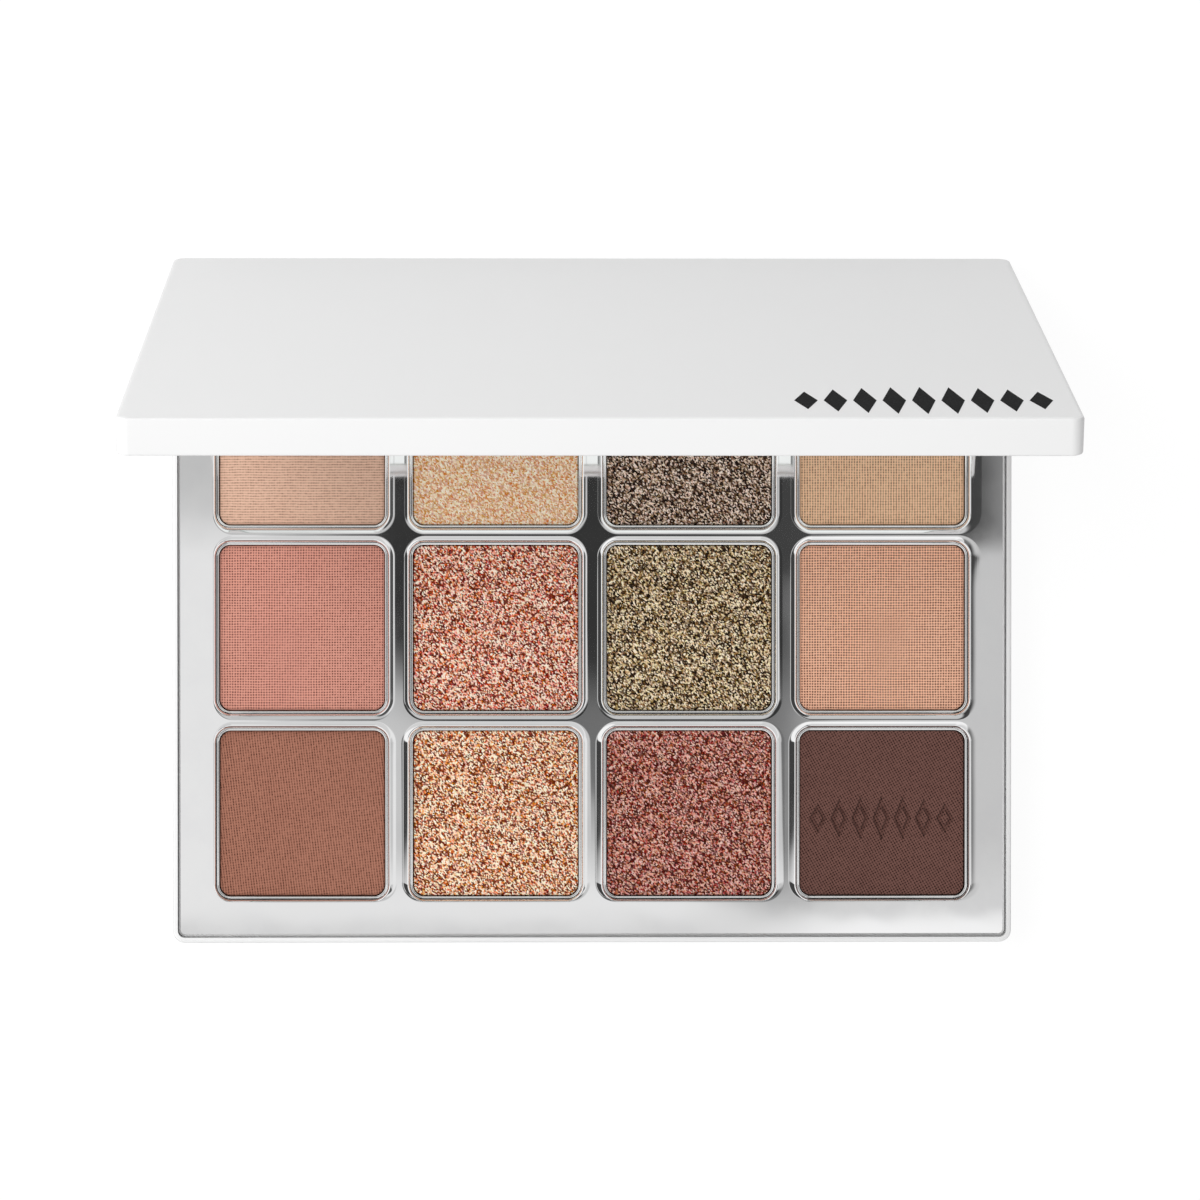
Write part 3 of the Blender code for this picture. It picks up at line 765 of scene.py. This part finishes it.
def edge_distance(x, y, half, corner):
    """How far a point lies inside the rounded square."""
    ax = np.abs(x) - (half - corner)
    ay = np.abs(y) - (half - corner)
    outside = np.hypot(np.maximum(ax, 0.0), np.maximum(ay, 0.0))
    return corner - outside - np.minimum(np.maximum(ax, ay), 0.0)


def soft_noise(generator, x, y, size):
    """Smooth noise between -1 and 1 with bumps about one size across."""
    total = np.zeros_like(x)
    waves = 6
    for _ in range(waves):
        angle = generator.uniform(0.0, math.tau)
        phase = generator.uniform(0.0, math.tau)
        wave = size * generator.uniform(1.2, 2.8)
        total += np.sin((x * math.cos(angle) + y * math.sin(angle)) * math.tau / wave + phase)
    return total / 3.5


def lozenge_chain(count, length, height):
    """(centre X, half width, half height) of lozenges in a row that swells at its middle."""
    pitch = length / count
    for i in range(count):
        x = (i - (count - 1) / 2) * pitch
        swell = math.sin(math.pi * (i + 0.5) / count) ** 0.6
        yield x, pitch * LOZENGE_FILL, height / 2 * (LOZENGE_ENDS + (1 - LOZENGE_ENDS) * swell)


def stamp_depth(x, y):
    """1 along the outlines of a row of lozenges pressed into the cake, falling to 0 over soft edges."""
    depth = np.zeros_like(x)
    for centre, half_width, half_height in lozenge_chain(*STAMP):
        reach = np.abs(x - centre) / half_width + np.abs(y + STAMP_BELOW_MIDDLE) / half_height
        line = np.clip(np.minimum(STAMP_OUTER - reach, reach - STAMP_INNER) / STAMP_SOFT, 0.0, 1.0)
        depth = np.maximum(depth, line * line * (3 - 2 * line))
    return depth


def powder_relief(shade, x, y, seed):
    """Fine relief of a face: slow waves, with grain on a shimmer and the ornament on the stamped matte."""
    generator = np.random.default_rng(seed)
    if SHADES[shade][0] == MATTE:
        size, depth = MATTE_WAVE
        relief = depth * soft_noise(generator, x, y, size)
        if shade == STAMPED:
            relief -= STAMP_DEPTH * stamp_depth(x, y)
        return relief
    rough = generator.normal(0.0, 1.0, x.shape)
    rough = (rough + np.roll(rough, 1, 0) + np.roll(rough, 1, 1) + np.roll(rough, (1, 1), (0, 1))) / 2
    relief = GRAIN_DEPTH * (np.clip(rough * 0.5, -1.2, 1.0) - 1.0) * 0.5
    size, depth = SHIMMER_WAVE
    return relief + depth * soft_noise(generator, x, y, size)


def cake_mesh(name, x, y, z, foot_z):
    """A mesh with the square grid x, y, z as its face, upright sides down to foot_z, and a flat underside."""
    side = len(x)
    top = np.stack((x, y, z), -1).reshape(-1, 3)
    index = np.arange(side * side).reshape(side, side)
    quads = np.stack((index[:-1, :-1], index[:-1, 1:], index[1:, 1:], index[1:, :-1]), -1).reshape(-1, 4)
    rim = np.concatenate((index[0, :-1], index[:-1, -1], index[-1, :0:-1], index[:0:-1, 0]))
    foot = top[rim].copy()
    foot[:, 2] = foot_z
    below = np.arange(len(rim)) + side * side
    after = np.roll(np.arange(len(rim)), -1)
    skirt = np.stack((rim, below, below[after], rim[after]), -1)
    mesh = bpy.data.meshes.new(name)
    faces = quads.tolist() + skirt.tolist() + [below[::-1].tolist()]
    mesh.from_pydata(np.concatenate((top, foot)).tolist(), [], faces)
    mesh.shade_smooth()
    mesh.set_sharp_from_angle(angle=math.radians(65))
    return mesh


def make_powder(row, column, seed):
    """A cake of pressed powder with a soft crown and rounded edges, and its grain or stamp as real relief."""
    node = f"powder_{row}_{column}"
    shade = frame["nodes"][node].data.materials[0].name
    kind, *look = SHADES[shade]
    low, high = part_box(node)
    centre = (low + high) / 2
    half = (high.x - low.x) / 2
    plain = kind == MATTE and shade != STAMPED
    cells = round(2 * half / (PLAIN_CELL if plain else FINE_CELL))
    x, y = rounded_grid(half, CAKE_CORNER, cells)
    inside = edge_distance(x, y, half, CAKE_CORNER)
    crown = CROWN * (np.clip(inside / CROWN_REACH, 0.0, 1.0) ** 0.5 - 1.0)
    relief = powder_relief(shade, x, y, seed)
    lip = np.clip(CAKE_EDGE - inside, 0.0, CAKE_EDGE)
    rounding = CAKE_EDGE - np.sqrt(CAKE_EDGE**2 - lip**2)
    keep = np.clip(inside / (2 * CAKE_EDGE), 0.0, 1.0)
    z = high.z - CAKE_SINK + crown + relief * keep - rounding
    mesh = cake_mesh(node, x, y, z - centre.z, low.z - centre.z)
    cake = bpy.data.objects.new(f"cake_{row}_{column}", mesh)
    bpy.context.scene.collection.objects.link(cake)
    cake.location = centre
    make_material = matte_powder if kind == MATTE else shimmer_powder
    return finish_piece(cake, make_material(f"{shade}_powder", *look), node, "base")


# ---------------------------------------------------------------- lid pieces


def lid_turn():
    """The matrix that takes a shut lid to its rest pose."""
    joint = frame["joints"][0]
    pivot = Matrix.Translation(Vector(joint["pos_m"]))
    shut = math.radians(joint["range_deg"][0])
    return pivot @ Matrix.Rotation(-shut, 4, Vector(joint["axis"])) @ pivot.inverted()


def shut_box(node):
    """The lowest and highest corner of a lid node with the lid shut."""
    back = lid_turn().inverted()
    points = np.array([back @ v.co for v in frame["nodes"][node].data.vertices])
    return Vector(points.min(0)), Vector(points.max(0))


def make_mirror():
    """Silvered glass with a small ground bevel round its face."""
    low, high = shut_box("mirror")
    glass = slab("looking_glass", low, high, MIRROR_CORNER, bottom_edge=MIRROR_BEVEL, steps=10)
    glass.data.transform(lid_turn())
    finish_piece(glass, mirror_silver(), "mirror", "lid")
    glass.data.materials.append(mirror_edge())
    facing = lid_turn().to_3x3() @ Vector((0.0, 0.0, 1.0))
    for face in glass.data.polygons:
        face.material_index = 0 if abs(face.normal.dot(facing)) > 0.99 else 1
    return glass


def make_lid_print():
    """A generic printed ornament at the front right of the lid: a row of solid lozenges."""
    low, high = shut_box("lid_shell")
    centre = Vector((PRINT_CENTRE, low.y + PRINT_FROM_FRONT, high.z))
    bm = bmesh.new()
    for x, half_width, half_height in lozenge_chain(*PRINT):
        outline = ((half_width, 0.0), (0.0, half_height), (-half_width, 0.0), (0.0, -half_height))
        base = [
            bm.verts.new((centre.x + x + dx, centre.y + dy, high.z - PRINT_HALF_THICKNESS))
            for dx, dy in outline
        ]
        top = [bm.verts.new((v.co.x, v.co.y, high.z + PRINT_HALF_THICKNESS)) for v in base]
        loft(bm, [base, top])
    ornament = mesh_object("lid_print", bm)
    ornament.data.transform(lid_turn())
    ornament.data.materials.append(black_ink())
    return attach(ornament, "lid")


# ---------------------------------------------------------------- stage


def overhead_panel(g, u, v):
    """Where the dark panel overhead is seen, and its level. Its left edge slants, its right and front step."""
    slant = g.times(g.maths("MAXIMUM", g.minus(OVERHEAD_SLANT_FROM, v), 0.0), OVERHEAD_SLANT)
    left = g.ramp(g.minus(u, slant), *OVERHEAD_LEFT)
    bend = g.ramp(v, -0.010, 0.002, 0.0, 0.047)
    right = g.ramp(g.minus(u, bend), *OVERHEAD_RIGHT)
    sink = g.plus(v, g.ramp(u, 0.02, 0.05, 0.0, 0.014))
    near = g.times(g.ramp(v, *OVERHEAD_BACK), g.ramp(sink, *OVERHEAD_FRONT))
    level = g.plus(g.ramp(v, -0.026, -0.042, 0.035, 0.16), g.ramp(u, 0.02, 0.07, 0.0, 0.02))
    return g.times(g.times(left, right), near), level


def panels_around(g, u, v):
    """The level round the dark panel: bright far out, beside it and ahead, dark at the far left and right."""
    reach = g.maths("SQRT", g.plus(g.times(u, u), g.times(v, v)))
    level = g.ramp(reach, 0.2, 0.7, 0.57, 0.97)
    beside = g.times(g.ramp(u, *BESIDE_INNER), g.ramp(u, *BESIDE_OUTER))
    level = g.between(beside, level, g.ramp(v, 0.015, -0.005, 0.54, 0.81))
    far_right = g.times(g.ramp(u, *FAR_RIGHT), g.ramp(reach, *FAR_RIGHT_REACH))
    level = g.between(far_right, level, FAR_RIGHT_LEVEL)
    far_left = g.times(g.ramp(u, *FAR_LEFT), g.ramp(v, *FAR_LEFT_FRONT))
    far_left = g.times(far_left, g.ramp(reach, *FAR_LEFT_REACH))
    level = g.between(far_left, level, FAR_LEFT_LEVEL)
    ahead = g.times(g.ramp(v, *AHEAD_NEAR), g.ramp(v, *AHEAD_FAR))
    ahead_left = g.ramp(v, -0.0865, -0.0935, 0.82, 0.66)
    ahead_right = g.ramp(v, -0.0860, -0.0905, 0.66, 0.95)
    return g.between(ahead, level, g.between(g.ramp(u, 0.035, 0.075), ahead_left, ahead_right))


def make_world():
    """A white backdrop for the camera, a soft gradient for diffuse light, and panels for reflections."""
    world = bpy.data.worlds.new("studio")
    bpy.context.scene.world = world
    world.use_nodes = True
    world.cycles.sampling_method = "NONE"
    g = Graph(world.node_tree)
    x, y, z = g.parts(g.node("ShaderNodeTexCoord", {}).outputs["Generated"])
    rise = g.maths("MAXIMUM", z, LEAST_RISE)
    u, v = g.over(x, rise), g.over(y, rise)
    overhead, overhead_level = overhead_panel(g, u, v)
    panel = g.between(overhead, panels_around(g, u, v), overhead_level)
    low_front = g.times(g.ramp(y, *LOW_FRONT_Y), g.ramp(g.maths("ABSOLUTE", x), *LOW_FRONT_X))
    low_front = g.times(low_front, g.ramp(z, *LOW_FRONT_Z))
    panel = g.between(low_front, panel, LOW_FRONT_LEVEL)
    soft = g.times(g.ramp(x, -0.9, 0.9, 1.10, 0.52), g.ramp(y, -0.4, 0.9, 1.0, 0.50))
    path = g.node("ShaderNodeLightPath", {}).outputs
    level = g.between(path["Is Glossy Ray"], soft, panel)
    level = g.between(path["Is Camera Ray"], level, 1.0)
    background = g.node("ShaderNodeBackground", {"Color": g.join(level, level, level)})
    g.node("ShaderNodeOutputWorld", {"Surface": background.outputs[0]})


def make_floor():
    """A white sweep that keeps a faint contact shadow, and clears when looked at from beneath."""
    bpy.ops.mesh.primitive_plane_add(size=FLOOR_SIZE, location=(0.0, 0.0, FLOOR_HEIGHT))
    floor = bpy.context.active_object
    floor.name = "floor"
    material, g = new_material("white_floor")
    shadowed = g.node("ShaderNodeBsdfDiffuse", {"Color": (0.72, 0.72, 0.72)}).outputs[0]
    lit = g.node("ShaderNodeEmission", {"Color": (1.0, 1.0, 1.0), "Strength": FLOOR_GLOW}).outputs[0]
    seen = g.node("ShaderNodeLightPath", {}).outputs["Is Camera Ray"]
    share = g.times(seen, FLOOR_GLOW_SHARE)
    blend = g.node("ShaderNodeMixShader", {0: share, 1: shadowed, 2: lit}).outputs[0]
    eye = g.node(
        "ShaderNodeVectorTransform", {0: (0.0, 0.0, 0.0)}, vector_type="POINT", convert_from="CAMERA",
        convert_to="WORLD",
    ).outputs[0]
    beneath = g.maths("LESS_THAN", g.parts(eye)[2], 0.0)
    clear = g.node("ShaderNodeBsdfTransparent", {}).outputs[0]
    surface = g.node("ShaderNodeMixShader", {0: beneath, 1: blend, 2: clear}).outputs[0]
    g.node("ShaderNodeOutputMaterial", {"Surface": surface})
    floor.data.materials.append(material)


def make_lamp(name, place, size, energy):
    """A soft square lamp aimed at the palette, unseen in the mirror-like faces."""
    lamp = bpy.data.lights.new(name, "AREA")
    lamp.size = size
    lamp.energy = energy
    made = bpy.data.objects.new(name, lamp)
    made.location = place
    made.rotation_euler = (-Vector(place)).to_track_quat("-Z", "Y").to_euler()
    made.visible_glossy = False
    bpy.context.scene.collection.objects.link(made)


def make_camera():
    """Looking straight down from over half a metre."""
    data = bpy.data.cameras.new("camera")
    data.lens = LENS_MM
    data.sensor_width = SENSOR_MM
    data.clip_start = 0.01
    camera = bpy.data.objects.new("camera", data)
    camera.location = CAMERA_PLACE
    camera.rotation_euler = tuple(math.radians(a) for a in CAMERA_TURN_DEG)
    bpy.context.scene.collection.objects.link(camera)
    bpy.context.scene.camera = camera


# ---------------------------------------------------------------- assembly

make_tray(tray_film())
TIN = tin_plate()
SWATCHES = []
for row_number, row_name in enumerate(ROWS):
    for column_number in COLUMNS:
        make_pan(row_name, column_number, TIN)
        make_powder(row_name, column_number, FIRST_SEED + 10 * row_number + column_number)
        values = SHADES[frame["nodes"][f"powder_{row_name}_{column_number}"].data.materials[0].name]
        SWATCHES.append(values[1] if values[0] == MATTE else values[2])

make_mirror()
make_lid_print()

PLASTIC = white_plastic()
for part in ("base_shell", "lid_shell", "mirror_frame"):
    dress(part, PLASTIC)
ADHESIVE = adhesive()
dress("mirror_tape", ADHESIVE)
for row_name in ROWS:
    for column_number in COLUMNS:
        dress(f"pan_pad_{row_name}_{column_number}", ADHESIVE)
STEEL = metal("pin_steel", (0.42, 0.42, 0.43), (0.62, 0.62, 0.63), roughness=0.38, grain=0.1 * MM)
NICKEL = metal("magnet_nickel", (0.40, 0.39, 0.37), (0.60, 0.59, 0.57), roughness=0.38, grain=0.25 * MM)
for side in ("left", "right"):
    dress(f"hinge_pin_{side}", STEEL, edge=0.12 * MM)
    dress(f"base_magnet_{side}", NICKEL, edge=0.15 * MM)
    dress(f"lid_magnet_{side}", NICKEL, edge=0.12 * MM)
dress("bottom_label", printed_label(SWATCHES))

make_world()
make_floor()
make_lamp("key", (-0.28, 0.07, 0.64), size=0.24, energy=1.5)
make_lamp("lid_light", (-0.34, 0.45, 0.36), size=0.25, energy=1.1)
make_camera()
bpy.context.scene.view_settings.view_transform = "Standard"
